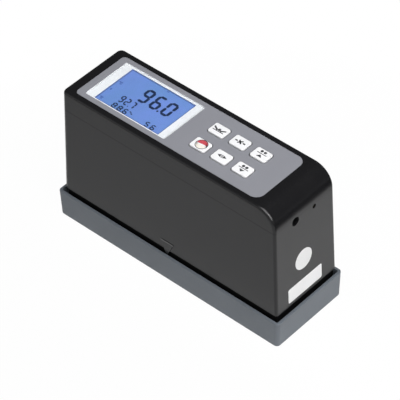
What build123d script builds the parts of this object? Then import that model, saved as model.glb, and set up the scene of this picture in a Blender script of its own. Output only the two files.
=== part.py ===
from build123d import *
from math import atan, cos, degrees, radians, sin, tan
import os

# Hand-held gloss meter standing in its calibration tray.
# A lamp sends a beam onto the measured spot under the casing and a photodiode reads what comes back.
# Origin: middle of the tray's underside. +X: nose end with the sockets. +Z: up. Millimetres.

os.makedirs("parts", exist_ok=True)

# Casing outline, measured at its underside
case_length = 140.0
case_width = 44.4
case_height = 75.0
end_lean = 2.8            # each end leans in by this much over the height
side_lean = 1.2           # each long side leans in by this much over the height
nose_radius = 11.0        # round front of the top cover
rear_corner = 3.0         # upright corners at the rear
edge_radius = 1.5         # front uprights and the whole top edge
seat = 7.0                # casing's underside above the ground, standing on the tray's floor

# Casing shells
cover_depth = 11.4        # top cover, from the top down to the parting line
housing_wall = 2.0
cover_wall = 2.4
base_height = 11.3        # base frame showing below the housing
base_recess = 0.9         # base frame lies behind the housing's faces
base_wall = 2.0
base_floor = 2.5
lip_depth = 1.8           # tongue below the cover, inside the housing
lip_bite = 1.4            # the tongues run this far into their own wall
lip_thickness = 1.1
tongue_height = 2.6       # tongue above the base frame, inside the housing
fit_gap = 0.1             # between tongues and the walls that they slip into
front_lip_gap = 21.0      # width left free of tongue behind the sockets

# Pointer ribs that mark the measured spot on both long sides
pointer_width = 8.0
pointer_height = 8.6
pointer_proud = 0.35
pointer_drop = 3.6        # tip hangs this far below the housing's edge

# Screw posts at the four corners
post_radius = 2.7
post_y = 15.9
post_rear_x = -61.0
post_front_x = 57.0
post_height = 20.0        # lower posts above the base floor
lug_height = 6.0          # upper lugs below the cover's bosses
web_thickness = 1.6
pilot_radius = 0.95
clear_radius = 1.25
screw_radius = 0.9
screw_play = 0.05
pan_radius = 2.1
pan_height = 1.5
sunk_radius = 2.1
sink_angle = 82.0
cover_screw_reach = 13.0
base_screw_reach = 13.0

# Grey control panel let into the top
panel_rear = -61.6
panel_front = 54.1
panel_width = 35.0
panel_recess = 0.6
panel_thickness = 0.45
panel_rear_corner = 2.4
panel_front_corner = 4.6
panel_play = 0.1

# Display
window_rear = -57.4
window_length = 51.2
window_width = 29.3
window_corner = 1.0
window_play = 0.05
window_thickness = 0.95
frame_thickness = 0.3     # white border under the window
view_length = 41.4
view_width = 27.3
glass_length = 46.0
glass_width = 30.2
glass_step = 1.1          # lower glass, reaching out under the cover
glass_play = 0.2
glass_drop = 0.1          # below the white border
cover_view_margin = 0.7   # cover's opening around the view
holder_length = 50.0
holder_width = 33.0
strip_width = 2.0         # rubber contact strip
strip_length = 43.0
strip_wall = 0.7
light_length = 42.6
light_width = 24.0
light_shift = 0.7

# Keys
key_length = 9.2
key_width = 7.1
key_corner = 1.2
key_gap = 0.22
key_rise = 0.55           # above the casing's top
key_edge = 0.35
key_travel = 0.5
key_first_x = 9.7
key_pitch_x = 13.0
key_pitch_y = 13.1
key_flange = 0.8          # flange reaches out under the cover on every side
flange_thickness = 1.0
flange_gap = 0.05
stem_radius = 1.5
switch_size = 6.0
switch_height = 3.6
switch_edge = 0.35
well_play = 0.12
stem_entry = 1.3          # stem reaches this far into the switch at rest
stem_end_gap = 0.5        # left under a pressed stem

# Main board under the keys and display
board_top = 73.0
board_thickness = 1.6
board_rear = -63.9
board_shoulder = 48.0
board_front = 63.6
board_width = 34.8
board_nose_width = 24.0
board_notch_x = -57.6
board_play = 0.5
pillar_radius = 2.2
pillar_rear_x = -60.2
pillar_rear_y = 8.0
pillar_middle_x = -1.8
pillar_middle_y = 14.0
pillar_front_x = 44.8
pillar_front_y = 10.0
board_screw_reach = 4.4
board_screw_head = 1.8
board_screw_head_height = 1.3
chip_size = 14.0
chip_height = 1.6
chip_x = 20.0

# Sockets in the nose end
socket_z = 68.8
jack_y = -6.6
jack_hole = 2.4
jack_bore = 1.8
jack_nose = 2.25
jack_nose_recess = 0.5
jack_body_length = 12.0
jack_body_width = 6.6
jack_bore_depth = 10.5
trim_y = 6.9
trim_hole = 1.15
trim_radius = 0.95
trim_play = 0.06
trim_body_length = 6.5
trim_body_width = 6.6
trim_recess = 0.5
trim_slot = 0.5
trim_slot_depth = 0.6
trim_collar = 1.7
trim_collar_length = 1.2

# Beams, running at the gloss angle from the measured spot
beam_angle = 60.0         # from the upright
tube_half = 7.0
block_width = 17.0
block_top = 26.0
bore_radius = 5.0
barrel_radius = 5.6
lens_play = 0.05
source_end = 50.0
source_seat = 22.0
source_slit_at = 38.0
receiver_end = 38.0
receiver_seat = 20.0
lens_edge = 2.0
spacer_bore = 4.7
receiver_stop_at = 31.0
stop_thickness = 1.0
slit_length = 3.0
slit_width = 1.0
stop_radius = 1.5
lens_bulge = 1.2
diode_window = 2.0
holder_flange = 6.8
holder_flange_depth = 1.2
lamp_radius = 2.5
lamp_length = 7.4
lamp_tip = 0.15           # flat left at the tip of the lamp's dome
diode_radius = 3.0
diode_length = 5.0
small_board_size = 13.0
small_board_thickness = 1.0
ear_reach = 6.5
ear_length = 9.0
ear_thickness = 3.0
ear_x = 13.0
ear_hole_y = 12.0
optics_screw_reach = 5.0
spot_length = 30.0        # slot in the base frame over the measured spot
spot_width = 11.0

# Batteries standing behind the rear door
cell_radius = 5.25
cell_length = 44.5
cell_nub_radius = 1.9
cell_nub = 1.0
cell_edge = 0.35
cell_pitch = 10.8
box_rear = -64.4
box_wall = 1.2
box_floor_z = 19.6
cell_end_space = 1.95
contact_thickness = 0.4
contact_width = 5.0
contact_arch = 1.5
contact_span = 3.0
contact_end = 4.4

# Battery door in the rear wall, sliding down behind its ledges
door_width = 24.6
door_top_z = 67.4
door_skin = 1.2
door_play = 0.2
door_opening_width = 21.6
door_opening_low = 20.5
door_opening_high = 66.6
door_slide = 6.5
hook_height = 6.0
hook_reach = 1.1
hook_thickness = 1.0
hook_neck_play = 0.2
hook_first_z = 31.0
hook_pitch = 14.0
hook_count = 3
notch_play = 0.2
grip_count = 5
grip_pitch = 2.4
grip_length = 12.0
grip_width = 0.9
grip_rise = 0.4
grip_z = 58.0

# Calibration tray with its gloss tile
tray_length = 144.0
tray_width = 48.4
tray_height = 15.6
tray_lean = 0.4           # walls lean in towards the ground
tray_wall = 1.5
tray_corner = 2.2
tray_floor = 2.0
tray_ledge = 4.0          # lower part of the recess, which fits the base frame
tray_fit = 0.25
tray_rim_edge = 0.35
tray_foot_edge = 0.5
tile_length = 36.0
tile_width = 24.0
tile_thickness = 4.0
tile_bevel = 0.35
tile_sunk = 0.2           # tile's face below the tray's floor
tile_play = 0.2
pad_thickness = 0.8
pocket_wall = 1.4
pocket_floor = 1.2
rib_thickness = 1.4
rib_spots = [-54.0, -36.0, 36.0, 54.0]
rib_clearance = 0.8       # ribs end this far above the ground

# Worked-out places
case_top = seat + case_height
parting = case_top - cover_depth
shell_edge = seat + base_height
base_top = seat + base_floor
cover_ceiling = case_top - cover_wall
panel_seat = case_top - panel_recess
panel_face = panel_seat + panel_thickness
lean_angle = degrees(atan(end_lean / case_height))
window_x = window_rear + window_length / 2
window_seat = panel_face - window_thickness
frame_seat = window_seat - frame_thickness
glass_top = frame_seat - glass_drop
lower_glass_top = cover_ceiling - fit_gap
board_bottom = board_top - board_thickness
lug_top = parting - lip_depth - fit_gap
key_top = case_top + key_rise
flange_top = cover_ceiling - flange_gap
flange_bottom = flange_top - flange_thickness
switch_top = board_top + switch_height
key_spots = [
    (key_first_x + column * key_pitch_x, row * key_pitch_y / 2) for row in (1, -1) for column in range(3)
]
key_names = ["key_read", "key_clear", "key_up", "key_power", "key_range", "key_down"]
switch_well = stem_entry + key_travel + stem_end_gap
post_spots = [(x, y) for x in (post_rear_x, post_front_x) for y in (-post_y, post_y)]
pillar_pairs = [
    (pillar_rear_x, pillar_rear_y),
    (pillar_middle_x, pillar_middle_y),
    (pillar_front_x, pillar_front_y),
]
pillar_spots = [(x, row * y) for x, y in pillar_pairs for row in (1, -1)]
ear_spots = [(x, y) for x in (-ear_x, ear_x) for y in (-ear_hole_y, ear_hole_y)]
box_half = cell_pitch
box_front = box_rear + 2 * cell_pitch
box_ceiling_z = box_floor_z + cell_length + 2 * cell_end_space
cell_low = box_floor_z + cell_end_space
cell_rear_x = box_rear + cell_pitch / 2
cell_front_x = cell_rear_x + cell_pitch
cell_y = cell_pitch / 2
rise = radians(90.0 - beam_angle)
LOW = (Align.CENTER, Align.CENTER, Align.MIN)
HIGH = (Align.CENTER, Align.CENTER, Align.MAX)


def half_length(z):
    """Half the casing's length at a height."""
    return case_length / 2 - end_lean * (z - seat) / case_height


def half_width(z):
    """Half the casing's width at a height."""
    return case_width / 2 - side_lean * (z - seat) / case_height


def casing_form(inset, low, high):
    """Solid with the casing's outer form, drawn in by inset, between two heights."""
    ceiling = case_top - inset
    with BuildPart() as form:
        with BuildSketch(Plane.XZ) as side:
            with BuildLine():
                Polyline(
                    (-half_length(seat) + inset, seat),
                    (-half_length(ceiling) + inset, ceiling),
                    (half_length(ceiling) - inset, ceiling),
                    (half_length(seat) - inset, seat),
                    close=True,
                )
            make_face()
            fillet(side.vertices().sort_by(lambda v: v.X + v.Y)[-1], nose_radius - inset)
        extrude(amount=case_width, both=True)
        with BuildSketch(Plane.YZ):
            with BuildLine():
                Polyline(
                    (-half_width(seat) + inset, seat),
                    (-half_width(ceiling) + inset, ceiling),
                    (half_width(ceiling) - inset, ceiling),
                    (half_width(seat) - inset, seat),
                    close=True,
                )
            make_face()
        extrude(amount=case_length, both=True, mode=Mode.INTERSECT)
        uprights = form.faces().sort_by(Axis.X)[0].edges().sort_by(Axis.Y)
        fillet((uprights[0], uprights[-1]), max(rear_corner - inset, fit_gap))
        if edge_radius > inset:
            rim = form.faces().sort_by(Axis.Z)[-1].edges().sort_by(Axis.Y)[0]
            fillet(rim, edge_radius - inset)
        split(bisect_by=Plane.XY.offset(low), keep=Keep.TOP)
        split(bisect_by=Plane.XY.offset(high), keep=Keep.BOTTOM)
    return form.part


def tongue_ring(edge, low, high, open_end, open_width):
    """Ring that slips inside the housing's wall, open over a width at one end of the casing."""
    inset = housing_wall + fit_gap
    with BuildPart() as ring:
        add(casing_form(inset, low, high))
        add(casing_form(inset + lip_thickness, low, high), mode=Mode.SUBTRACT)
        with Locations((open_end * half_length(edge), 0, edge)):
            Box(4 * cover_wall, open_width, 2 * (high - low), mode=Mode.SUBTRACT)
    return ring.part


def rear_face(z, depth=0.0):
    """Plane on the casing's leaning rear face at a height, sunk by a depth; its Y runs up the face."""
    outward = Vector(-cos(radians(lean_angle)), 0, sin(radians(lean_angle)))
    foot = Vector(-half_length(z), 0, z) - outward * depth
    return Plane(origin=foot, x_dir=(0, -1, 0), z_dir=outward)


def across_beam(side, distance):
    """Plane square to a beam, at a distance from the measured spot. Side +1: source, -1: receiver."""
    along = Vector(side * cos(rise), 0, sin(rise))
    return Plane(origin=Vector(0, 0, seat) + along * distance, x_dir=(0, side, 0), z_dir=along)


def along_beam(side):
    """Plane that holds a beam: X runs along it from the measured spot, Y away from it."""
    return Plane(origin=(0, 0, seat), x_dir=(side * cos(rise), 0, sin(rise)), z_dir=(0, -side, 0))


def beam_axis(side):
    return Axis((0, 0, seat), (side * cos(rise), 0, sin(rise)))


# Calibration tray: open box with a thin leaning rim, a recess for the base frame and a tile pocket
with BuildPart() as calibration_tray:
    with BuildSketch(Plane.XY):
        RectangleRounded(tray_length - 2 * tray_lean, tray_width - 2 * tray_lean, tray_corner)
    with BuildSketch(Plane.XY.offset(tray_height)):
        RectangleRounded(tray_length, tray_width, tray_corner)
    loft()
    fillet(calibration_tray.faces().sort_by(Axis.Z)[0].edges(), tray_foot_edge)
    # Wide upper part of the recess
    with BuildSketch(Plane.XY.offset(seat + tray_ledge)):
        RectangleRounded(
            tray_length - 2 * tray_wall, tray_width - 2 * tray_wall, tray_corner - tray_wall
        )
    extrude(amount=tray_height, mode=Mode.SUBTRACT)
    # Narrow lower part, which holds the base frame in place
    add(casing_form(base_recess - tray_fit, seat, seat + tray_ledge), mode=Mode.SUBTRACT)
    # Hollow underside
    with BuildSketch(Plane.XY):
        Rectangle(tray_length - 2 * (tray_wall + tray_lean), tray_width - 2 * (tray_wall + tray_lean))
        Rectangle(
            tile_length + 2 * (tile_play + pocket_wall),
            tile_width + 2 * (tile_play + pocket_wall),
            mode=Mode.SUBTRACT,
        )
    extrude(amount=seat - tray_floor, mode=Mode.SUBTRACT)
    # Tile pocket, open to the recess
    with BuildSketch(Plane.XY.offset(seat)):
        Rectangle(tile_length + 2 * tile_play, tile_width + 2 * tile_play)
    extrude(amount=-(tile_sunk + tile_thickness + pad_thickness), mode=Mode.SUBTRACT)
    with BuildSketch(Plane.XY):
        Rectangle(tile_length + 2 * (tile_play + pocket_wall), tile_width + 2 * (tile_play + pocket_wall))
    extrude(amount=seat - tile_sunk - tile_thickness - pad_thickness - pocket_floor, mode=Mode.SUBTRACT)
    # Ribs under the floor
    with BuildSketch(Plane.XY.offset(rib_clearance)):
        with Locations(*[(x, 0) for x in rib_spots]):
            Rectangle(rib_thickness, tray_width - 2 * tray_wall - 2 * tray_lean)
    extrude(amount=seat - tray_floor - rib_clearance)
    fillet(calibration_tray.faces().sort_by(Axis.Z)[-1].outer_wire().edges(), tray_rim_edge)
calibration_tray.part.label = "calibration_tray"
export_step(calibration_tray.part, "parts/calibration_tray.step")

# Gloss tile: polished black glass with a bevelled face edge
tile_top = seat - tile_sunk
with BuildPart() as gloss_tile:
    with Locations((0, 0, tile_top)):
        Box(tile_length, tile_width, tile_thickness, align=HIGH)
    chamfer(gloss_tile.faces().sort_by(Axis.Z)[-1].edges(), tile_bevel)
gloss_tile.part.label = "gloss_tile"
export_step(gloss_tile.part, "parts/gloss_tile.step")

# Foam pad under the tile
with BuildPart() as tile_pad:
    with Locations((0, 0, tile_top - tile_thickness)):
        Box(tile_length - pocket_wall, tile_width - pocket_wall, pad_thickness, align=HIGH)
tile_pad.part.label = "tile_pad"
export_step(tile_pad.part, "parts/tile_pad.step")

# Base frame: floor with the measuring slot, low walls and a tongue that slips into the housing
with BuildPart() as base_frame:
    add(casing_form(base_recess, seat, shell_edge))
    add(casing_form(base_recess + base_wall, base_top, shell_edge), mode=Mode.SUBTRACT)
    tongue_low = shell_edge - lip_bite
    tongue_high = shell_edge + tongue_height
    add(tongue_ring(shell_edge, tongue_low, tongue_high, -1, door_width + 2 * door_play))
    # Measuring slot
    with BuildSketch(Plane.XY.offset(seat)):
        SlotOverall(spot_length, spot_width)
    extrude(amount=base_floor, mode=Mode.SUBTRACT)
    # Shallow track in the rear wall, down which the battery door slides
    with BuildSketch(rear_face(shell_edge, door_skin + door_play)):
        Rectangle(door_width + 2 * door_play, 2 * base_height)
    extrude(amount=housing_wall, mode=Mode.SUBTRACT)
    # Countersunk screw holes from below
    with Locations(Plane(origin=(0, 0, seat), x_dir=(1, 0, 0), z_dir=(0, 0, -1))):
        with Locations(*[(x, -y) for x, y in post_spots + ear_spots]):
            CounterSinkHole(
                clear_radius, sunk_radius + screw_play, depth=base_floor, counter_sink_angle=sink_angle
            )
base_frame.part.label = "base_frame"
export_step(base_frame.part, "parts/base_frame.step")

# Lower housing: leaning walls, screw posts and lugs, pointer ribs, rear door opening, socket holes
with BuildPart() as lower_housing:
    add(casing_form(0.0, shell_edge, parting))
    # Pointer ribs stand proud of both long sides and hang over the base frame's wall
    tip_z = shell_edge - pointer_drop
    with BuildSketch(Plane.XZ):
        with BuildLine():
            Polyline(
                (0, tip_z),
                (pointer_width / 2, tip_z + pointer_height),
                (-pointer_width / 2, tip_z + pointer_height),
                close=True,
            )
        make_face()
    extrude(amount=half_width(tip_z) + pointer_proud, both=True)
    add(casing_form(housing_wall, shell_edge, parting), mode=Mode.SUBTRACT)
    with Locations((0, 0, shell_edge)):
        Box(
            2 * pointer_width,
            2 * (half_width(shell_edge) - base_recess + fit_gap),
            pointer_drop,
            align=HIGH,
            mode=Mode.SUBTRACT,
        )
    # Lower posts for the base screws, each tied to the side wall by a web
    post_top = base_top + post_height
    web_low = shell_edge + tongue_height + fit_gap
    for x, y in post_spots:
        outward = 1 if y > 0 else -1
        with Locations((x, y, base_top)):
            Cylinder(post_radius, post_height, align=LOW)
        with Locations((x, y, lug_top)):
            Cylinder(post_radius, lug_height, align=HIGH)
        for low, high in ((web_low, post_top), (lug_top - lug_height, lug_top)):
            web_reach = half_width(high) - housing_wall / 2 - post_y
            with Locations((x, y + outward * web_reach / 2, low)):
                Box(web_thickness, web_reach, high - low, align=LOW)
        with Locations((x, y, base_top)):
            Cylinder(pilot_radius, base_screw_reach, align=LOW, mode=Mode.SUBTRACT)
        with Locations((x, y, lug_top)):
            Cylinder(clear_radius, lug_height, align=HIGH, mode=Mode.SUBTRACT)
    # Door rebate, open at the bottom, and the opening through the wall
    rebate_high = door_top_z + door_play
    rebate_low = shell_edge - door_skin
    with BuildSketch(rear_face((rebate_low + rebate_high) / 2, door_skin)):
        Rectangle(door_width + 2 * door_play, rebate_high - rebate_low)
    extrude(amount=2 * door_skin, mode=Mode.SUBTRACT)
    with BuildSketch(rear_face((door_opening_low + door_opening_high) / 2, 2 * housing_wall)):
        Rectangle(door_opening_width, door_opening_high - door_opening_low)
    extrude(amount=4 * housing_wall, mode=Mode.SUBTRACT)
    # Notches that let the hooks out once the door is down
    for index in range(hook_count):
        notch_z = hook_first_z + index * hook_pitch - door_slide
        with BuildSketch(rear_face(notch_z, 2 * housing_wall)):
            Rectangle(
                door_opening_width + 2 * (hook_reach + notch_play), hook_height + 2 * notch_play
            )
        extrude(amount=2 * housing_wall, mode=Mode.SUBTRACT)
    # Socket holes in the front wall
    with BuildSketch(Plane.YZ.offset(board_shoulder)):
        with Locations((jack_y, socket_z)):
            Circle(jack_hole)
        with Locations((trim_y, socket_z)):
            Circle(trim_hole)
    extrude(amount=case_length / 2, mode=Mode.SUBTRACT)
lower_housing.part.label = "lower_housing"
export_step(lower_housing.part, "parts/lower_housing.step")


def panel_outline(play):
    """Control panel's outline in plan, grown by a play."""
    with BuildSketch() as outline:
        with Locations(((panel_rear + panel_front) / 2, 0)):
            Rectangle(panel_front - panel_rear + 2 * play, panel_width + 2 * play)
        fillet(outline.vertices().group_by(Axis.X)[0], panel_rear_corner + play)
        fillet(outline.vertices().group_by(Axis.X)[-1], panel_front_corner + play)
    return outline.sketch


def window_outline(play):
    """Display window's outline in plan, grown by a play."""
    with BuildSketch() as outline:
        with Locations((window_x, 0)):
            RectangleRounded(window_length + 2 * play, window_width + 2 * play, window_corner + play)
    return outline.sketch


def key_outlines(play):
    """Outlines of all the keys in plan, grown by a play."""
    with BuildSketch() as outlines:
        with Locations(*key_spots):
            RectangleRounded(key_length + 2 * play, key_width + 2 * play, key_corner + play)
    return outlines.sketch


# Top cover: round nose, panel recess, display and key openings, bosses and board pillars
with BuildPart() as upper_cover:
    add(casing_form(0.0, parting, case_top))
    add(casing_form(cover_wall, parting, cover_ceiling), mode=Mode.SUBTRACT)
    add(tongue_ring(parting, parting - lip_depth, parting + lip_bite, 1, front_lip_gap))
    for x, y in post_spots:
        with Locations((x, y, lug_top)):
            Cylinder(post_radius, cover_ceiling - lug_top, align=LOW)
            Cylinder(pilot_radius, cover_screw_reach - lug_height, align=LOW, mode=Mode.SUBTRACT)
    for x, y in pillar_spots:
        with Locations((x, y, board_top)):
            Cylinder(pillar_radius, cover_ceiling - board_top, align=LOW)
            Cylinder(pilot_radius, board_screw_reach, align=LOW, mode=Mode.SUBTRACT)
    with BuildSketch(Plane.XY.offset(case_top)):
        add(panel_outline(panel_play))
    extrude(amount=-panel_recess, mode=Mode.SUBTRACT)
    with BuildSketch(Plane.XY.offset(panel_seat)):
        add(window_outline(window_play))
    extrude(amount=frame_seat - panel_seat, mode=Mode.SUBTRACT)
    with BuildSketch(Plane.XY.offset(panel_seat)):
        with Locations((window_x, 0)):
            Rectangle(view_length + 2 * cover_view_margin, view_width + 2 * cover_view_margin)
        add(key_outlines(key_gap))
    extrude(amount=-cover_wall, mode=Mode.SUBTRACT)
    # Socket holes, which the parting line crosses
    with BuildSketch(Plane.YZ.offset(board_shoulder)):
        with Locations((jack_y, socket_z)):
            Circle(jack_hole)
    extrude(amount=case_length / 2, mode=Mode.SUBTRACT)
upper_cover.part.label = "upper_cover"
export_step(upper_cover.part, "parts/upper_cover.step")

# Control panel: grey plate with the window and key openings
with BuildPart() as control_panel:
    with BuildSketch(Plane.XY.offset(panel_seat)):
        add(panel_outline(0.0))
        add(window_outline(window_play), mode=Mode.SUBTRACT)
        add(key_outlines(key_gap), mode=Mode.SUBTRACT)
    extrude(amount=panel_thickness)
control_panel.part.label = "control_panel"
export_step(control_panel.part, "parts/control_panel.step")

# Display window: clear plate, flush with the panel
with BuildPart() as display_window:
    with BuildSketch(Plane.XY.offset(window_seat)):
        add(window_outline(0.0))
    extrude(amount=window_thickness)
display_window.part.label = "display_window"
export_step(display_window.part, "parts/display_window.step")

# White border between the window and the cover's ledge
with BuildPart() as display_border:
    with BuildSketch(Plane.XY.offset(frame_seat)):
        add(window_outline(0.0))
        with Locations((window_x, 0)):
            Rectangle(view_length, view_width, mode=Mode.SUBTRACT)
    extrude(amount=frame_thickness)
display_border.part.label = "display_border"
export_step(display_border.part, "parts/display_border.step")

# Display glass: the upper glass rises into the cover's opening, the lower one reaches out under it
lower_glass_bottom = lower_glass_top - glass_step
with BuildPart() as display_glass:
    with BuildSketch(Plane.XY.offset(lower_glass_bottom)):
        with Locations((window_x, 0)):
            Rectangle(glass_length, glass_width)
    extrude(amount=glass_step)
    with BuildSketch(Plane.XY.offset(lower_glass_top)):
        with Locations((window_x, 0)):
            Rectangle(
                view_length + 2 * (cover_view_margin - glass_play),
                view_width + 2 * (cover_view_margin - glass_play),
            )
    extrude(amount=glass_top - lower_glass_top)
display_glass.part.label = "display_glass"
export_step(display_glass.part, "parts/display_glass.step")

# Holder that carries the glass over the board, with wells for the light and the contact strip
light_y = light_shift
strip_y = light_y - light_width / 2 - strip_wall - strip_width / 2 - glass_play
with BuildPart() as display_holder:
    with BuildSketch(Plane.XY.offset(board_top)):
        with Locations((window_x, 0)):
            Rectangle(holder_length, holder_width)
        with Locations((window_x, light_y)):
            Rectangle(light_length + glass_play, light_width + glass_play, mode=Mode.SUBTRACT)
        with Locations((window_x, strip_y)):
            Rectangle(strip_length + glass_play, strip_width + glass_play, mode=Mode.SUBTRACT)
    extrude(amount=lower_glass_top - board_top)
    with BuildSketch(Plane.XY.offset(lower_glass_bottom)):
        with Locations((window_x, 0)):
            Rectangle(glass_length + glass_play, glass_width + glass_play)
    extrude(amount=glass_step, mode=Mode.SUBTRACT)
display_holder.part.label = "display_holder"
export_step(display_holder.part, "parts/display_holder.step")

# Light plate under the glass
with BuildPart() as display_light:
    with BuildSketch(Plane.XY.offset(board_top)):
        with Locations((window_x, light_y)):
            Rectangle(light_length, light_width)
    extrude(amount=lower_glass_bottom - board_top - fit_gap)
display_light.part.label = "display_light"
export_step(display_light.part, "parts/display_light.step")

# Rubber strip that joins the glass to the board's contacts
with BuildPart() as contact_strip:
    with BuildSketch(Plane.XY.offset(board_top)):
        with Locations((window_x, strip_y)):
            Rectangle(strip_length, strip_width)
    extrude(amount=lower_glass_bottom - board_top)
contact_strip.part.label = "contact_strip"
export_step(contact_strip.part, "parts/contact_strip.step")

# Keys: rounded caps with a flange under the cover and a stem into the switch
for name, spot in zip(key_names, key_spots):
    with BuildPart() as key:
        with BuildSketch(Plane.XY.offset(flange_bottom)):
            with Locations(spot):
                RectangleRounded(key_length, key_width, key_corner)
        extrude(amount=key_top - flange_bottom)
        fillet(key.faces().sort_by(Axis.Z)[-1].edges(), key_edge)
        with BuildSketch(Plane.XY.offset(flange_bottom)):
            with Locations(spot):
                RectangleRounded(
                    key_length + 2 * key_flange, key_width + 2 * key_flange, key_corner + key_flange
                )
        extrude(amount=flange_thickness)
        with BuildSketch(Plane.XY.offset(flange_bottom)):
            with Locations(spot):
                Circle(stem_radius)
        extrude(amount=switch_top - stem_entry - flange_bottom)
    key.part.label = name
    export_step(key.part, f"parts/{name}.step")

# Switches: square housings on the board, each with a well for its key's stem
for name, spot in zip(key_names, key_spots):
    switch_name = name.replace("key", "switch")
    with BuildPart() as switch:
        with BuildSketch(Plane.XY.offset(board_top)):
            with Locations(spot):
                Rectangle(switch_size, switch_size)
        extrude(amount=switch_height)
        chamfer(switch.faces().sort_by(Axis.Z)[-1].edges(), switch_edge)
        with BuildSketch(Plane.XY.offset(switch_top)):
            with Locations(spot):
                Circle(stem_radius + well_play)
        extrude(amount=-switch_well, mode=Mode.SUBTRACT)
    switch.part.label = switch_name
    export_step(switch.part, f"parts/{switch_name}.step")

# Main board: broad under the display and keys, narrower in the nose between the bosses
notch_y = post_y - post_radius - board_play
with BuildPart() as main_board:
    with BuildSketch(Plane.XY.offset(board_bottom)):
        with Locations(((board_rear + board_shoulder) / 2, 0)):
            Rectangle(board_shoulder - board_rear, board_width)
        with Locations((board_shoulder, 0)):
            Rectangle(
                board_front - board_shoulder, board_nose_width, align=(Align.MIN, Align.CENTER)
            )
        with Locations((board_rear, notch_y), (board_rear, -notch_y - board_width)):
            Rectangle(board_notch_x - board_rear, board_width, align=Align.MIN, mode=Mode.SUBTRACT)
        with Locations(*pillar_spots):
            Circle(clear_radius, mode=Mode.SUBTRACT)
    extrude(amount=board_thickness)
main_board.part.label = "main_board"
export_step(main_board.part, "parts/main_board.step")

# Controller chip under the board
with BuildPart() as controller_chip:
    with Locations((chip_x, 0, board_bottom)):
        Box(chip_size, chip_size, chip_height, align=HIGH)
controller_chip.part.label = "controller_chip"
export_step(controller_chip.part, "parts/controller_chip.step")

# Plug socket behind the larger hole
socket_front = half_length(parting) - cover_wall - fit_gap
socket_face = half_length(socket_z)
socket_height = 2 * (board_bottom - socket_z)
with BuildPart() as jack_socket:
    with Locations((socket_front, jack_y, socket_z)):
        Box(
            jack_body_length,
            jack_body_width,
            socket_height,
            align=(Align.MAX, Align.CENTER, Align.CENTER),
        )
    with BuildSketch(Plane.YZ.offset(socket_front)):
        with Locations((jack_y, socket_z)):
            Circle(jack_nose)
    extrude(amount=socket_face - jack_nose_recess - socket_front)
    with BuildSketch(Plane.YZ.offset(socket_face - jack_nose_recess)):
        with Locations((jack_y, socket_z)):
            Circle(jack_bore)
    extrude(amount=-jack_bore_depth, mode=Mode.SUBTRACT)
jack_socket.part.label = "jack_socket"
export_step(jack_socket.part, "parts/jack_socket.step")

# Trimmer behind the small hole: a body with a chamber that keeps its slotted rotor
rotor_rear = socket_front - trim_body_length / 2
with BuildPart() as trimmer_body:
    with Locations((socket_front, trim_y, socket_z)):
        Box(
            trim_body_length,
            trim_body_width,
            socket_height,
            align=(Align.MAX, Align.CENTER, Align.CENTER),
        )
    with BuildSketch(Plane.YZ.offset(rotor_rear)):
        with Locations((trim_y, socket_z)):
            Circle(trim_radius + trim_play)
    extrude(amount=trim_body_length, mode=Mode.SUBTRACT)
    with BuildSketch(Plane.YZ.offset(rotor_rear - trim_play)):
        with Locations((trim_y, socket_z)):
            Circle(trim_collar + trim_play)
    extrude(amount=trim_collar_length + 2 * trim_play, mode=Mode.SUBTRACT)
trimmer_body.part.label = "trimmer_body"
export_step(trimmer_body.part, "parts/trimmer_body.step")

rotor_end = socket_face - trim_recess
with BuildPart() as trimmer_rotor:
    with BuildSketch(Plane.YZ.offset(rotor_rear)):
        with Locations((trim_y, socket_z)):
            Circle(trim_radius)
    extrude(amount=rotor_end - rotor_rear)
    with BuildSketch(Plane.YZ.offset(rotor_rear)):
        with Locations((trim_y, socket_z)):
            Circle(trim_collar)
    extrude(amount=trim_collar_length)
    with Locations((rotor_end, trim_y, socket_z)):
        Box(2 * trim_slot_depth, 2 * trim_collar, trim_slot, mode=Mode.SUBTRACT)
trimmer_rotor.part.label = "trimmer_rotor"
export_step(trimmer_rotor.part, "parts/trimmer_rotor.step")


def beam_point(side, distance, away):
    """X and Z of a point at a distance along a beam and off its axis, in the upright middle plane."""
    x = side * (distance * cos(rise) - away * sin(rise))
    z = seat + distance * sin(rise) + away * cos(rise)
    return (x, z)


def barrel(side, start, end, outer, inner=0.0):
    """Round plug or tube on a beam between two distances from the measured spot."""
    with BuildPart() as tube:
        with BuildSketch(across_beam(side, start)):
            Circle(outer)
            if inner:
                Circle(inner, mode=Mode.SUBTRACT)
        extrude(amount=end - start)
    return tube.part


SOURCE = 1
RECEIVER = -1
fitted = barrel_radius - lens_play
dome_radius = spacer_bore - lens_play
foot_distance = (base_floor + tube_half * cos(rise)) / sin(rise)
roof_distance = (block_top - seat - tube_half * cos(rise)) / sin(rise)

# Optical block: two tubes at the gloss angle, joined over the measured spot
with BuildPart() as optical_block:
    with BuildSketch(Plane.XZ):
        with BuildLine():
            Polyline(
                beam_point(SOURCE, foot_distance, -tube_half),
                beam_point(SOURCE, source_end, -tube_half),
                beam_point(SOURCE, source_end, tube_half),
                beam_point(SOURCE, roof_distance, tube_half),
                beam_point(RECEIVER, roof_distance, tube_half),
                beam_point(RECEIVER, receiver_end, tube_half),
                beam_point(RECEIVER, receiver_end, -tube_half),
                beam_point(RECEIVER, foot_distance, -tube_half),
                close=True,
            )
        make_face()
    extrude(amount=block_width / 2, both=True)
    with Locations((-ear_x, 0, base_top), (ear_x, 0, base_top)):
        Box(ear_length, block_width + 2 * ear_reach, ear_thickness, align=LOW)
    bores = ((SOURCE, source_seat, source_end), (RECEIVER, receiver_seat, receiver_end))
    for side, barrel_seat, end in bores:
        add(barrel(side, 0.0, barrel_seat, bore_radius), mode=Mode.SUBTRACT)
        add(barrel(side, barrel_seat, end, barrel_radius), mode=Mode.SUBTRACT)
    for x, y in ear_spots:
        with Locations((x, y, base_top)):
            Cylinder(pilot_radius, ear_thickness, align=LOW, mode=Mode.SUBTRACT)
optical_block.part.label = "optical_block"
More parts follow.
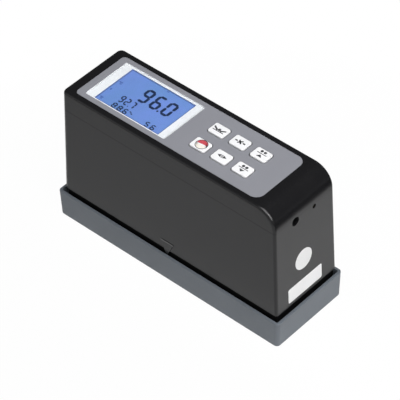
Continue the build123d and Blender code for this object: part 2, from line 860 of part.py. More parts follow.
export_step(optical_block.part, "parts/optical_block.step")


def lens(side, edge_at, edge_length, bulge_to):
    """Round lens with a flat face and a domed one, its rim between two distances on a beam."""
    flat_at = edge_at + edge_length if bulge_to < edge_at else edge_at
    dome_at = edge_at if bulge_to < edge_at else edge_at + edge_length
    with BuildPart() as glass:
        with BuildSketch(along_beam(side)):
            with BuildLine():
                Polyline(
                    (bulge_to, 0), (flat_at, 0), (flat_at, fitted), (dome_at, fitted), (dome_at, dome_radius)
                )
                TangentArc((bulge_to, 0), (dome_at, dome_radius), tangent=(0, 1))
            make_face()
        revolve(axis=beam_axis(side))
    return glass.part


# Source: lens, spacer, slit, condenser, lamp in its holder, and the lamp's board
spacer_start = source_seat + lens_edge
slit_end = source_slit_at + stop_thickness
holder_start = slit_end + lens_edge
holder_end = source_end + holder_flange_depth
with BuildPart() as source_lens:
    add(lens(SOURCE, source_seat, lens_edge, source_seat - lens_bulge))
source_lens.part.label = "source_lens"
export_step(source_lens.part, "parts/source_lens.step")

with BuildPart() as source_spacer:
    add(barrel(SOURCE, spacer_start, source_slit_at, fitted, spacer_bore))
source_spacer.part.label = "source_spacer"
export_step(source_spacer.part, "parts/source_spacer.step")

with BuildPart() as source_slit:
    add(barrel(SOURCE, source_slit_at, slit_end, fitted))
    with BuildSketch(across_beam(SOURCE, source_slit_at)):
        Rectangle(slit_length, slit_width)
    extrude(amount=stop_thickness, mode=Mode.SUBTRACT)
source_slit.part.label = "source_slit"
export_step(source_slit.part, "parts/source_slit.step")

with BuildPart() as condenser_lens:
    add(lens(SOURCE, slit_end, lens_edge, holder_start + lens_bulge))
condenser_lens.part.label = "condenser_lens"
export_step(condenser_lens.part, "parts/condenser_lens.step")

lamp_recess_end = holder_end - lamp_length - fit_gap
with BuildPart() as lamp_holder:
    add(barrel(SOURCE, holder_start, source_end, fitted))
    add(barrel(SOURCE, source_end, holder_end, holder_flange))
    add(barrel(SOURCE, holder_start, lamp_recess_end, spacer_bore), mode=Mode.SUBTRACT)
    add(barrel(SOURCE, lamp_recess_end, holder_end, lamp_radius + lens_play), mode=Mode.SUBTRACT)
lamp_holder.part.label = "lamp_holder"
export_step(lamp_holder.part, "parts/lamp_holder.step")

with BuildPart() as lamp:
    add(barrel(SOURCE, holder_end - lamp_length, holder_end, lamp_radius))
    dome = lamp.faces().sort_by(lambda face: (face.center() - Vector(0, 0, seat)).length)[0]
    fillet(dome.edges(), lamp_radius - lamp_tip)
lamp.part.label = "lamp"
export_step(lamp.part, "parts/lamp.step")

with BuildPart() as lamp_board:
    with BuildSketch(across_beam(SOURCE, holder_end)):
        Rectangle(small_board_size, small_board_size)
    extrude(amount=small_board_thickness)
lamp_board.part.label = "lamp_board"
export_step(lamp_board.part, "parts/lamp_board.step")

# Receiver: lens, spacer, stop, photodiode in its holder, and the sensor board
stop_end = receiver_stop_at + stop_thickness
diode_end = receiver_end + holder_flange_depth
diode_start = diode_end - diode_length
with BuildPart() as receiver_lens:
    add(lens(RECEIVER, receiver_seat, lens_edge, receiver_seat - lens_bulge))
receiver_lens.part.label = "receiver_lens"
export_step(receiver_lens.part, "parts/receiver_lens.step")

with BuildPart() as receiver_spacer:
    add(barrel(RECEIVER, receiver_seat + lens_edge, receiver_stop_at, fitted, spacer_bore))
receiver_spacer.part.label = "receiver_spacer"
export_step(receiver_spacer.part, "parts/receiver_spacer.step")

with BuildPart() as receiver_stop:
    add(barrel(RECEIVER, receiver_stop_at, stop_end, fitted, stop_radius))
receiver_stop.part.label = "receiver_stop"
export_step(receiver_stop.part, "parts/receiver_stop.step")

with BuildPart() as diode_holder:
    add(barrel(RECEIVER, stop_end, receiver_end, fitted))
    add(barrel(RECEIVER, receiver_end, diode_end, holder_flange))
    add(barrel(RECEIVER, stop_end, diode_start, diode_window), mode=Mode.SUBTRACT)
    add(barrel(RECEIVER, diode_start, diode_end, diode_radius + lens_play), mode=Mode.SUBTRACT)
diode_holder.part.label = "diode_holder"
export_step(diode_holder.part, "parts/diode_holder.step")

with BuildPart() as photodiode:
    add(barrel(RECEIVER, diode_start, diode_end, diode_radius))
photodiode.part.label = "photodiode"
export_step(photodiode.part, "parts/photodiode.step")

with BuildPart() as sensor_board:
    with BuildSketch(across_beam(RECEIVER, diode_end)):
        Rectangle(small_board_size, small_board_size)
    extrude(amount=small_board_thickness)
sensor_board.part.label = "sensor_board"
export_step(sensor_board.part, "parts/sensor_board.step")

# Battery box: three walls down to the base floor, with a shelf and a lid, open towards the door
box_width = 2 * (box_half + box_wall)
box_length = box_front + box_wall - box_rear
box_top_z = box_ceiling_z + box_wall
FROM_REAR = (Align.MIN, Align.CENTER, Align.MIN)
bay_length = box_front - box_rear
with BuildPart() as battery_box:
    with Locations((box_rear, 0, base_top)):
        Box(box_length, box_width, box_top_z - base_top, align=FROM_REAR)
    # Space under the shelf, then the cells' own bay
    for low, high in ((base_top, box_floor_z - box_wall), (box_floor_z, box_ceiling_z)):
        with Locations((box_rear, 0, low)):
            Box(bay_length, 2 * box_half, high - low, align=FROM_REAR, mode=Mode.SUBTRACT)
battery_box.part.label = "battery_box"
export_step(battery_box.part, "parts/battery_box.step")

# Cells, two facing up and two facing down
cell_spots = [(cell_rear_x, -cell_y), (cell_front_x, -cell_y), (cell_front_x, cell_y), (cell_rear_x, cell_y)]
for index, (x, y) in enumerate(cell_spots):
    facing_up = index % 2 == 0
    body_low = cell_low if facing_up else cell_low + cell_nub
    nub_low = cell_low + cell_length - cell_nub if facing_up else cell_low
    with BuildPart() as cell:
        with Locations((x, y, body_low)):
            Cylinder(cell_radius, cell_length - cell_nub, align=LOW)
        chamfer(cell.edges().filter_by(GeomType.CIRCLE), cell_edge)
        with Locations((x, y, nub_low)):
            Cylinder(cell_nub_radius, cell_nub, align=LOW)
    cell.part.label = f"cell_{index + 1}"
    export_step(cell.part, f"parts/cell_{index + 1}.step")


def contact(plane, spots, start, end, inward):
    """Bent strip on the box's floor or lid, arched at each cell. Inward +1: up, -1: down."""
    level = inward * contact_thickness / 2
    peak = level + inward * contact_arch
    with BuildPart() as strip:
        with BuildSketch(plane):
            with BuildLine():
                at = (start, level)
                for spot in spots:
                    Line(at, (spot - contact_span, level))
                    ThreePointArc(
                        (spot - contact_span, level), (spot, peak), (spot + contact_span, level)
                    )
                    at = (spot + contact_span, level)
                Line(at, (end, level))
            trace(line_width=contact_thickness)
        extrude(amount=contact_width / 2, both=True)
    return strip.part


# Battery contacts: two bridges at the top, one bridge and two end contacts at the bottom
lid_near = Plane(origin=(0, -cell_y, box_ceiling_z), x_dir=(1, 0, 0), z_dir=(0, -1, 0))
lid_far = Plane(origin=(0, cell_y, box_ceiling_z), x_dir=(1, 0, 0), z_dir=(0, -1, 0))
floor_near = Plane(origin=(0, -cell_y, box_floor_z), x_dir=(1, 0, 0), z_dir=(0, -1, 0))
floor_far = Plane(origin=(0, cell_y, box_floor_z), x_dir=(1, 0, 0), z_dir=(0, -1, 0))
floor_across = Plane(origin=(cell_front_x, 0, box_floor_z), x_dir=(0, 1, 0), z_dir=(1, 0, 0))
both_x = [cell_rear_x, cell_front_x]
rear_end = cell_rear_x - contact_end
middle_x = cell_rear_x + contact_end
front_end = cell_front_x + contact_end
side_end = cell_y + contact_end
contacts = {
    "contact_top_near": contact(lid_near, both_x, rear_end, front_end, -1),
    "contact_top_far": contact(lid_far, both_x, rear_end, front_end, -1),
    "contact_bridge": contact(floor_across, [-cell_y, cell_y], -side_end, side_end, 1),
    "contact_minus": contact(floor_near, both_x[:1], rear_end, middle_x, 1),
    "contact_plus": contact(floor_far, both_x[:1], rear_end, middle_x, 1),
}
for name, strip_part in contacts.items():
    with BuildPart() as strip:
        add(strip_part)
    strip.part.label = name
    export_step(strip.part, f"parts/{name}.step")

# Battery door: skin in the housing's rebate, hooks behind its ledges, grip ribs outside
hook_gap = fit_gap
with BuildPart() as battery_door:
    door_plane = rear_face((shell_edge + door_top_z) / 2)
    with BuildSketch(door_plane):
        Rectangle(door_width, door_top_z - shell_edge)
    extrude(amount=-door_skin)
    for index in range(hook_count):
        hook_z = hook_first_z + index * hook_pitch
        with BuildSketch(rear_face(hook_z, door_skin)):
            Rectangle(door_opening_width - 2 * hook_neck_play, hook_height)
        extrude(amount=-(housing_wall - door_skin + hook_gap + hook_thickness))
        with BuildSketch(rear_face(hook_z, housing_wall + hook_gap)):
            Rectangle(door_opening_width + 2 * hook_reach, hook_height)
        extrude(amount=-hook_thickness)
    for index in range(grip_count):
        with BuildSketch(rear_face(grip_z - index * grip_pitch)):
            SlotOverall(grip_length, grip_width)
        extrude(amount=grip_rise)
battery_door.part.label = "battery_door"
export_step(battery_door.part, "parts/battery_door.step")

# Screws: four pan heads up into the cover, eight countersunk from below, six in the board
with BuildPart() as cover_screws:
    for x, y in post_spots:
        with Locations((x, y, lug_top - lug_height)):
            Cylinder(pan_radius, pan_height, align=HIGH)
            Cylinder(screw_radius, cover_screw_reach, align=LOW)
cover_screws.part.label = "cover_screws"
export_step(cover_screws.part, "parts/cover_screws.step")


def sunk_screws(spots, length):
    """Countersunk screws with their heads flush in the base frame's underside."""
    head_height = (sunk_radius - screw_radius) / tan(radians(sink_angle / 2))
    with BuildPart() as screws:
        with Locations(*[(x, y, seat) for x, y in spots]):
            Cone(sunk_radius, screw_radius, head_height, align=LOW)
            Cylinder(screw_radius, length, align=LOW)
    return screws.part


with BuildPart() as base_screws:
    add(sunk_screws(post_spots, base_screw_reach))
base_screws.part.label = "base_screws"
export_step(base_screws.part, "parts/base_screws.step")

with BuildPart() as optics_screws:
    add(sunk_screws(ear_spots, optics_screw_reach))
optics_screws.part.label = "optics_screws"
export_step(optics_screws.part, "parts/optics_screws.step")

with BuildPart() as board_screws:
    for x, y in pillar_spots:
        with Locations((x, y, board_bottom)):
            Cylinder(board_screw_head, board_screw_head_height, align=HIGH)
            Cylinder(screw_radius, board_thickness + board_screw_reach - screw_play, align=LOW)
board_screws.part.label = "board_screws"
export_step(board_screws.part, "parts/board_screws.step")
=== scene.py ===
import math

import bpy
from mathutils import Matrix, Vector


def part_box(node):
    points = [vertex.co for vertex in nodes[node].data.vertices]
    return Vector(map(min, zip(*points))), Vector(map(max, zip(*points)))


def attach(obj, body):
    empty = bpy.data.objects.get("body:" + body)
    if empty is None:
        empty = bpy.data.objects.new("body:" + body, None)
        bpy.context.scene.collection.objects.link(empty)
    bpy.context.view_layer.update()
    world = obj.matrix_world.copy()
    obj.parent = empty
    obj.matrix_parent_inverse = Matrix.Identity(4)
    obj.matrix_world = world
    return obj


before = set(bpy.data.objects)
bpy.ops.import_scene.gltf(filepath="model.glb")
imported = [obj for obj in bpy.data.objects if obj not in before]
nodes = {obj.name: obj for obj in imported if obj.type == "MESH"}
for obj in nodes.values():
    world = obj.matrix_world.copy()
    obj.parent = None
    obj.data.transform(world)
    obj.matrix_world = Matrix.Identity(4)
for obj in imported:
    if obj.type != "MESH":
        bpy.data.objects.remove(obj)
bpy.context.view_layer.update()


# Calibration tray. An open box moulded in slate-grey ABS, with a thin leaning rim and ribs under
# its floor. It has the fine even grain of a spark-eroded mould, and rubs shinier where it is held.
def tint(red, green, blue):
    """Colour as light that a shader mixes, from the 0 to 255 steps of a colour card."""
    parts = []
    for step in (red, green, blue):
        share = step / 255
        # The sRGB curve: a short straight foot and a power above it
        parts.append(share / 12.92 if share <= 0.04045 else ((share + 0.055) / 1.055) ** 2.4)
    return (*parts, 1.0)


def fill(tree, node, values):
    """Gives a node's inputs what they read: {name or place: socket, number or colour}."""
    for label, value in values.items():
        if isinstance(value, bpy.types.NodeSocket):
            tree.links.new(value, node.inputs[label])
        else:
            node.inputs[label].default_value = value


def new_group(name, inputs, outputs):
    """Empty shader node group with float inputs {name: start} and float outputs."""
    group = bpy.data.node_groups.new(name, "ShaderNodeTree")
    for label, start in inputs.items():
        socket = group.interface.new_socket(
            label, in_out="INPUT", socket_type="NodeSocketFloat"
        )
        socket.default_value = start
    for label in outputs:
        group.interface.new_socket(label, in_out="OUTPUT", socket_type="NodeSocketFloat")
    return group, group.nodes.new("NodeGroupInput"), group.nodes.new("NodeGroupOutput")


def object_place(tree):
    """Where a point of the piece lies in the shared frame, in metres."""
    return tree.nodes.new("ShaderNodeTexCoord").outputs["Object"]


def split(tree, vector):
    """A vector's parts, named X, Y and Z."""
    node = tree.nodes.new("ShaderNodeSeparateXYZ")
    fill(tree, node, {"Vector": vector})
    return node.outputs


def noise(tree, vector, scale, detail, roughness=0.5):
    """Noise texture in a node tree, read at a vector."""
    node = tree.nodes.new("ShaderNodeTexNoise")
    fill(tree, node, {"Vector": vector, "Scale": scale, "Detail": detail, "Roughness": roughness})
    return node.outputs["Fac"]


def spread(tree, value, low, high, to_low=0.0, to_high=1.0):
    """Value stretched from one range to another and held inside it."""
    node = tree.nodes.new("ShaderNodeMapRange")
    limits = {"From Min": low, "From Max": high, "To Min": to_low, "To Max": to_high}
    fill(tree, node, {"Value": value, **limits})
    return node.outputs["Result"]


def combine(tree, operation, first, second=0.0):
    """Two values put together by a plain sum, product or the like, or one value changed."""
    node = tree.nodes.new("ShaderNodeMath")
    node.operation = operation
    fill(tree, node, {0: first, 1: second})
    return node.outputs["Value"]


def stretched(tree, vector, scale):
    """Vector pulled out along the axes, for grain that runs one way."""
    node = tree.nodes.new("ShaderNodeMapping")
    fill(tree, node, {"Vector": vector, "Scale": scale})
    return node.outputs["Vector"]


# Mould grain: fine pebbles for the height, broad clouds for the tone
FINE_GRAIN = 2200.0  # pebbles to a metre
CLOUDS = 38.0
mould_grain, grain_in, grain_out = new_group(
    "mould_grain", {"Grain": FINE_GRAIN}, ("Height", "Tone")
)
place = object_place(mould_grain)
pebbles = mould_grain.nodes.new("ShaderNodeTexVoronoi")
fill(mould_grain, pebbles, {"Vector": place, "Scale": grain_in.outputs["Grain"]})
fine = noise(mould_grain, place, grain_in.outputs["Grain"], 3.0, 0.6)
grain_height = combine(mould_grain, "ADD", pebbles.outputs["Distance"], fine)
grain_height = combine(mould_grain, "MULTIPLY", grain_height, 0.5)
grain_tone = spread(mould_grain, noise(mould_grain, place, CLOUDS, 4.0, 0.6), 0.3, 0.7)
fill(mould_grain, grain_out, {"Height": grain_height, "Tone": grain_tone})

# Handling marks: soft smudges from fingers, and patches of hairline rubs along the object
SMUDGES = 62.0
RUB_PATCHES = 24.0
RUB_HAIRS = (40.0, 1500.0, 1500.0)
handling_marks, _, marks_out = new_group("handling_marks", {}, ("Smudge", "Rub"))
place = object_place(handling_marks)
smudge = spread(handling_marks, noise(handling_marks, place, SMUDGES, 5.0, 0.65), 0.48, 0.68)
hair_place = stretched(handling_marks, place, RUB_HAIRS)
hairs = spread(handling_marks, noise(handling_marks, hair_place, 1.0, 2.0), 0.62, 0.7)
patches = spread(handling_marks, noise(handling_marks, place, RUB_PATCHES, 2.0), 0.45, 0.65)
rub = combine(handling_marks, "MULTIPLY", hairs, patches)
fill(handling_marks, marks_out, {"Smudge": smudge, "Rub": rub})

# Settled dust: thin specks that lie only on faces turned upwards
DUST_SPECKS = 2600.0
settled_dust, dust_in, dust_out = new_group("settled_dust", {"Amount": 0.1}, ("Dust",))
place = object_place(settled_dust)
facing = split(settled_dust, settled_dust.nodes.new("ShaderNodeNewGeometry").outputs["Normal"])
upward = spread(settled_dust, facing["Z"], 0.6, 0.95)
specks = spread(settled_dust, noise(settled_dust, place, DUST_SPECKS, 2.0, 0.7), 0.62, 0.74)
lying = combine(settled_dust, "MULTIPLY", specks, upward)
lying = combine(settled_dust, "MULTIPLY", lying, dust_in.outputs["Amount"])
fill(settled_dust, dust_out, {"Dust": lying})


def start_material(name):
    """Material with one Principled shader joined to its output."""
    material = bpy.data.materials.new(name)
    material.use_nodes = True
    tree = material.node_tree
    return material, tree, tree.nodes["Principled BSDF"]


def use_group(tree, group, **values):
    """A node group placed in a material with its own values."""
    node = tree.nodes.new("ShaderNodeGroup")
    node.node_tree = group
    fill(tree, node, values)
    return node.outputs


def between(tree, share, first, second):
    """Colour between two others, each a colour or a socket."""
    node = tree.nodes.new("ShaderNodeMix")
    node.data_type = "RGBA"
    fill(tree, node, {"Factor": share})
    # Each kind of value has its own sockets of the same name, so they are found by their kind
    for label, colour in (("A", first), ("B", second)):
        places = [i for i, s in enumerate(node.inputs) if s.name == label and s.type == "RGBA"]
        fill(tree, node, {places[0]: colour})
    return [s for s in node.outputs if s.type == "RGBA"][0]


def bumped(tree, height, distance, strength=1.0):
    """Surface direction bent by a height, in metres at its highest."""
    node = tree.nodes.new("ShaderNodeBump")
    fill(tree, node, {"Height": height, "Distance": distance, "Strength": strength})
    return node.outputs["Normal"]


DUST_GREY = tint(176, 172, 164)
SMUDGE_DULLS = 0.05  # roughness that a smudge adds
RUB_SHINES = 0.015  # roughness that a rub takes away
GRAIN_STRENGTH = 0.6


def moulded(
    name, colour, rough, grain=FINE_GRAIN, relief=0.00003, contrast=0.12, dust=0.10, shine=0.5
):
    """Moulded plastic: grain in its height, clouds in its tone, smudges and rubs in its gloss."""
    material, tree, shader = start_material(name)
    grained = use_group(tree, mould_grain, Grain=grain)
    marked = use_group(tree, handling_marks)
    dusty = use_group(tree, settled_dust, Amount=dust)["Dust"]
    paler = tuple(part * (1 + contrast) for part in colour[:3]) + (1.0,)
    deeper = tuple(part * (1 - contrast) for part in colour[:3]) + (1.0,)
    tone = between(tree, grained["Tone"], deeper, paler)
    smudged = spread(tree, marked["Smudge"], 0.0, 1.0, rough, rough + SMUDGE_DULLS)
    rubbed = combine(tree, "MULTIPLY", marked["Rub"], RUB_SHINES)
    finish = {
        "Base Color": between(tree, dusty, tone, DUST_GREY),
        "Roughness": combine(tree, "SUBTRACT", smudged, rubbed),
        "Normal": bumped(tree, grained["Height"], relief, GRAIN_STRENGTH),
        "Specular IOR Level": shine,
    }
    fill(tree, shader, finish)
    return material


def finish_node(name, material):
    """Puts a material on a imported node."""
    for slot in nodes[name].material_slots:
        slot.material = material


finish_node("calibration_tray", moulded("tray_slate", tint(98, 104, 111), 0.42, contrast=0.05))

# Gloss tile and its pad. A block of black glass, polished flat, whose known gloss sets the meter.
# It lies in the tray's pocket on a square of grey foam.
material, tree, shader = start_material("black_glass")
polish = use_group(tree, handling_marks)
finish = {
    "Base Color": between(tree, polish["Rub"], tint(6, 6, 8), tint(14, 14, 17)),
    "Roughness": spread(tree, polish["Smudge"], 0.0, 1.0, 0.02, 0.06),
    "Coat Weight": 0.5,
    "Coat Roughness": 0.02,
}
fill(tree, shader, finish)
finish_node("gloss_tile", material)
foam = moulded(
    "foam_open_cell", tint(70, 70, 72), 0.95, grain=1400.0, relief=0.0003, contrast=0.3
)
finish_node("tile_pad", foam)

# Casing. Base frame, lower housing and top cover are black ABS, screwed together from below. The
# housing and cover have a fine satin grain, a hairline shadow where their edges meet and painted
# light on the small ledges over the pointers, whose upward faces are painted pale grey.
MM = 0.001
PARTING_HEIGHT = 70.6 * MM
SHADOW_FADES = (0.1 * MM, 0.3 * MM)  # this far from the parting line
LEDGE_FADES = (26.0 * MM, 30.0 * MM)  # the pointers' ledges lie below these heights
CASE_SHINE = 0.5


def from_mark(tree, value, mark):
    """How far a value is from a mark, either way."""
    return combine(tree, "ABSOLUTE", combine(tree, "SUBTRACT", value, mark))


casing = moulded(
    "case_satin_black", tint(21, 21, 23), 0.22, grain=2600.0, contrast=0.08, dust=0.05
)
tree = casing.node_tree
shader = tree.nodes["Principled BSDF"]
axes = split(tree, object_place(tree))
lit_share = spread(tree, from_mark(tree, axes["Z"], PARTING_HEIGHT), *SHADOW_FADES, 0.5, 1.0)
facing = split(tree, tree.nodes.new("ShaderNodeNewGeometry").outputs["Normal"])
# Painted light: upward faces low on the casing, the pointers' ledges, are painted pale grey
low_down = spread(tree, axes["Z"], *LEDGE_FADES, 1.0, 0.0)
ledge_painted_light = combine(tree, "MULTIPLY", spread(tree, facing["Z"], 0.5, 0.8), low_down)
plain_black = shader.inputs["Base Color"].links[0].from_socket
finish = {
    "Base Color": between(tree, ledge_painted_light, plain_black, tint(102, 102, 102)),
    "Specular IOR Level": combine(tree, "MULTIPLY", lit_share, CASE_SHINE),
}
fill(tree, shader, finish)
finish_node("lower_housing", casing)
finish_node("upper_cover", casing)
base = moulded(
    "base_matt_black", tint(9, 9, 10), 0.55, grain=1800.0, relief=0.00005, dust=0.02, shine=0.15
)
finish_node("base_frame", base)
door = moulded("door_satin_black", tint(20, 20, 22), 0.36, grain=2600.0, contrast=0.08)
finish_node("battery_door", door)

# Control panel. A thin plate let into the cover, printed pale grey all over with a satin lacquer.
# The print has a fine dot grain, and painted shade darkens a thin line round each key's opening.
KEY_FIRST = 9.7 * MM  # middle of the first column of keys
KEY_PITCH = 13.0 * MM
KEY_ROW = 6.55 * MM  # middle of a row, either side of the panel's middle
KEY_LONG = 9.2 * MM
KEY_WIDE = 7.1 * MM
KEY_CORNER = 1.2 * MM
GAP_SHADE_FADES = (0.4 * MM, 0.6 * MM)  # this far from a key's edge
GAP_SHADE_DEPTH = 0.85

panel = moulded(
    "panel_grey_print", tint(141, 142, 149), 0.38, grain=3200.0, relief=0.000012, contrast=0.03
)
tree = panel.node_tree
shader = tree.nodes["Principled BSDF"]
axes = split(tree, object_place(tree))
# Distance from the nearest key's outline, a rounded rectangle that repeats along the panel
from_first = combine(tree, "SUBTRACT", axes["X"], KEY_FIRST)
from_column = combine(tree, "PINGPONG", from_first, KEY_PITCH / 2)
from_row = from_mark(tree, combine(tree, "ABSOLUTE", axes["Y"]), KEY_ROW)
past_end = combine(tree, "SUBTRACT", from_column, KEY_LONG / 2 - KEY_CORNER)
past_end = combine(tree, "MAXIMUM", past_end)
past_side = combine(tree, "SUBTRACT", from_row, KEY_WIDE / 2 - KEY_CORNER)
past_side = combine(tree, "MAXIMUM", past_side)
end_squared = combine(tree, "MULTIPLY", past_end, past_end)
side_squared = combine(tree, "MULTIPLY", past_side, past_side)
from_corner = combine(tree, "POWER", combine(tree, "ADD", end_squared, side_squared), 0.5)
from_key = combine(tree, "SUBTRACT", from_corner, KEY_CORNER)
from_middle = from_mark(tree, axes["X"], KEY_FIRST + KEY_PITCH)
among_keys = combine(tree, "LESS_THAN", from_middle, 1.5 * KEY_PITCH)
# Painted shade: the print is darkened in a thin line just outside each key's opening
painted_gap_shade = combine(tree, "MULTIPLY", among_keys, spread(tree, from_key, *GAP_SHADE_FADES, GAP_SHADE_DEPTH, 0.0))
plain_print = shader.inputs["Base Color"].links[0].from_socket
fill(tree, shader, {"Base Color": between(tree, painted_gap_shade, plain_print, tint(62, 62, 66))})
finish_node("control_panel", panel)

# Display window. Clear acrylic pressed into the panel, flush with it, over a white printed border.
# The acrylic has faint wiping marks; lamps reach what lies under it through the clear sheet.
WIPING_DIMS = 0.97  # share of the light that wiping marks let through
WIPING_DULLS = 0.03  # roughness that they add


def clear_sheet(name, colour, rough, index):
    """Clear glass or acrylic with faint wiping marks, which lets lamps through it."""
    material, tree, shader = start_material(name)
    wiped = use_group(tree, handling_marks)
    dimmed = tuple(WIPING_DIMS * part for part in colour[:3]) + (1.0,)
    finish = {
        "Base Color": between(tree, wiped["Smudge"], colour, dimmed),
        "Roughness": spread(tree, wiped["Smudge"], 0.0, 1.0, rough, rough + WIPING_DULLS),
        "Transmission Weight": 1.0,
        "IOR": index,
    }
    fill(tree, shader, finish)
    passing = tree.nodes.new("ShaderNodeBsdfTransparent")
    fill(tree, passing, {"Color": colour})
    path = tree.nodes.new("ShaderNodeLightPath").outputs
    lamp_ray = combine(tree, "MAXIMUM", path["Is Shadow Ray"], path["Is Diffuse Ray"])
    chosen = tree.nodes.new("ShaderNodeMixShader")
    fill(tree, chosen, {0: lamp_ray, 1: shader.outputs["BSDF"], 2: passing.outputs["BSDF"]})
    fill(tree, tree.nodes["Material Output"], {"Surface": chosen.outputs["Shader"]})
    return material


finish_node("display_window", clear_sheet("window_acrylic", (0.98, 0.99, 1.0, 1.0), 0.015, 1.35))
border = moulded(
    "border_white_print", tint(250, 251, 252), 0.45, relief=0.000008, contrast=0.015, dust=0.0
)
finish_node("display_border", border)

# Display. Liquid crystal glass lit blue from behind by a milky plate, in a white holder on the
# board. The glow is a little uneven, and painted shade darkens a thin line round the glass inside
# the white border.
VIEW_X = (-52.5 * MM, -11.1 * MM)
VIEW_Y = 13.65 * MM
RIM_SHADE_FADES = (0.2 * MM, 0.9 * MM)  # this far inside the border
material, tree, shader = start_material("display_lit_blue")
place = object_place(tree)
axes = split(tree, place)
from_middle = from_mark(tree, axes["X"], (VIEW_X[0] + VIEW_X[1]) / 2)
end_gap = combine(tree, "SUBTRACT", (VIEW_X[1] - VIEW_X[0]) / 2, from_middle)
side_gap = combine(tree, "SUBTRACT", VIEW_Y, combine(tree, "ABSOLUTE", axes["Y"]))
# Painted shade: the blue is darkened close to the white border's inner edge
rim_shade = spread(tree, combine(tree, "MINIMUM", end_gap, side_gap), *RIM_SHADE_FADES)
glow = spread(tree, noise(tree, place, 55.0, 2.0), 0.35, 0.65)
lit = between(tree, glow, tint(106, 143, 203), tint(113, 142, 213))
blue = between(tree, rim_shade, tint(62, 84, 140), lit)
fill(tree, shader, {"Base Color": blue, "Emission Color": blue})
fill(tree, shader, {"Emission Strength": 0.12, "Roughness": 0.3})
finish_node("display_glass", material)
holder = moulded("holder_white", tint(222, 222, 220), 0.5, contrast=0.03)
finish_node("display_holder", holder)
material, tree, shader = start_material("light_plate_milky")
clouds = noise(tree, object_place(tree), 90.0, 2.0)
milk = between(tree, clouds, tint(214, 226, 250), tint(232, 240, 255))
fill(tree, shader, {"Base Color": milk, "Emission Color": milk})
fill(tree, shader, {"Emission Strength": 0.5, "Roughness": 0.4})
finish_node("display_light", material)
strip = moulded("strip_rubber", tint(88, 88, 92), 0.8, grain=900.0, contrast=0.25)
finish_node("contact_strip", strip)

# Figures on the display. Each bar of a figure is dark liquid crystal in the glass, a hexagon with
# pointed ends, a few hundredths of a millimetre deep. The large reading stands over two stored
# ones, and the short pale bars are segments at rest.
GLASS_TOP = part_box("display_glass")[1].z
INK_RISE = 0.03 * MM
BAR_POINT = 0.46  # how far a bar's ends are cut back, in strokes
BAR_GAP = 0.12  # left free between two bars, in strokes
POINT_SIDE = 0.9  # side of the decimal point, in strokes
BARS = {
    "0": "abcdef", "2": "abged", "5": "afgcd", "6": "afgedc",
    "7": "abc", "8": "abcdefg", "9": "abcdfg",
}


def deselect():
    """Nothing is selected, so that the next operator acts on its own piece alone."""
    for thing in bpy.context.selected_objects:
        thing.select_set(False)


def start_mesh(name):
    """New empty mesh object, open for editing."""
    deselect()
    bpy.ops.mesh.primitive_plane_add(size=1.0)
    piece = bpy.context.object
    piece.name = name
    piece.data.name = name
    bpy.ops.object.mode_set(mode="EDIT")
    bpy.ops.mesh.select_all(action="SELECT")
    bpy.ops.mesh.delete(type="VERT")
    return piece


def bar(x, y, length, stroke, upright):
    """One pointed bar of a figure, added to the mesh being edited."""
    bpy.ops.mesh.select_all(action="DESELECT")
    bpy.ops.mesh.primitive_plane_add(size=1.0, location=(x, y, GLASS_TOP))
    size = (stroke, length, 1.0) if upright else (length, stroke, 1.0)
    bpy.ops.transform.resize(value=size, center_override=(x, y, GLASS_TOP))
    bpy.ops.mesh.bevel(offset=BAR_POINT * stroke, affect="VERTICES")


def figure(mark, x, y, high, wide, stroke):
    """One seven-bar figure round a middle, added to the mesh being edited."""
    arm = high / 2 - stroke / 2
    reach = wide / 2 - stroke / 2
    places = {
        "a": (0, arm, False), "g": (0, 0, False), "d": (0, -arm, False),
        "f": (-reach, arm / 2, True), "b": (reach, arm / 2, True),
        "e": (-reach, -arm / 2, True), "c": (reach, -arm / 2, True),
    }
    for label in BARS[mark]:
        dx, dy, upright = places[label]
        length = (arm if upright else 2 * reach) - BAR_GAP * stroke
        bar(x + dx, y + dy, length, stroke, upright)


def close_flat(piece, rise, material, body):
    """Gives the flat outlines being edited their thickness, a material and a body."""
    bpy.ops.mesh.select_all(action="SELECT")
    bpy.ops.mesh.extrude_region_move(TRANSFORM_OT_translate={"value": (0, 0, rise)})
    bpy.ops.mesh.select_all(action="SELECT")
    bpy.ops.mesh.normals_make_consistent(inside=False)
    bpy.ops.object.mode_set(mode="OBJECT")
    piece.data.materials.append(material)
    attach(piece, body)


def ink(name, first, second, rough=0.45):
    """Printed ink or dark crystal: two near tones in fine clouds."""
    material, tree, shader = start_material(name)
    clouds = noise(tree, object_place(tree), 900.0, 2.0)
    fill(tree, shader, {"Base Color": between(tree, clouds, first, second), "Roughness": rough})
    return material


crystal = ink("crystal_dark", tint(8, 28, 62), tint(14, 40, 80))
# Name, figures, their columns, their row, height, width, stroke and decimal point, in millimetres
figures = [
    ("figures_reading", "960", (-33.8, -26.5, -19.15), 3.3, 10.4, 5.4, 1.5, -22.8),
    ("figures_upper", "927", (-41.4, -38.1, -34.5), -5.65, 5.1, 2.6, 0.8, -36.1),
    ("figures_lower", "886", (-41.4, -37.9, -34.4), -11.3, 3.8, 2.6, 0.75, -36.1),
    ("figures_count", "56", (-20.3, -16.6), -11.3, 3.6, 2.5, 0.7, None),
]
for name, text, columns, row, high, wide, stroke, point in figures:
    piece = start_mesh(name)
    for mark, column in zip(text, columns):
        figure(mark, column * MM, row * MM, high * MM, wide * MM, stroke * MM)
    if point is not None:
        side = stroke * POINT_SIDE
        bar(point * MM, (row - high / 2 + side / 2) * MM, side * MM, side * MM, True)
    close_flat(piece, INK_RISE, crystal, "meter")

resting = ink("crystal_resting", tint(74, 106, 178), tint(82, 112, 186))
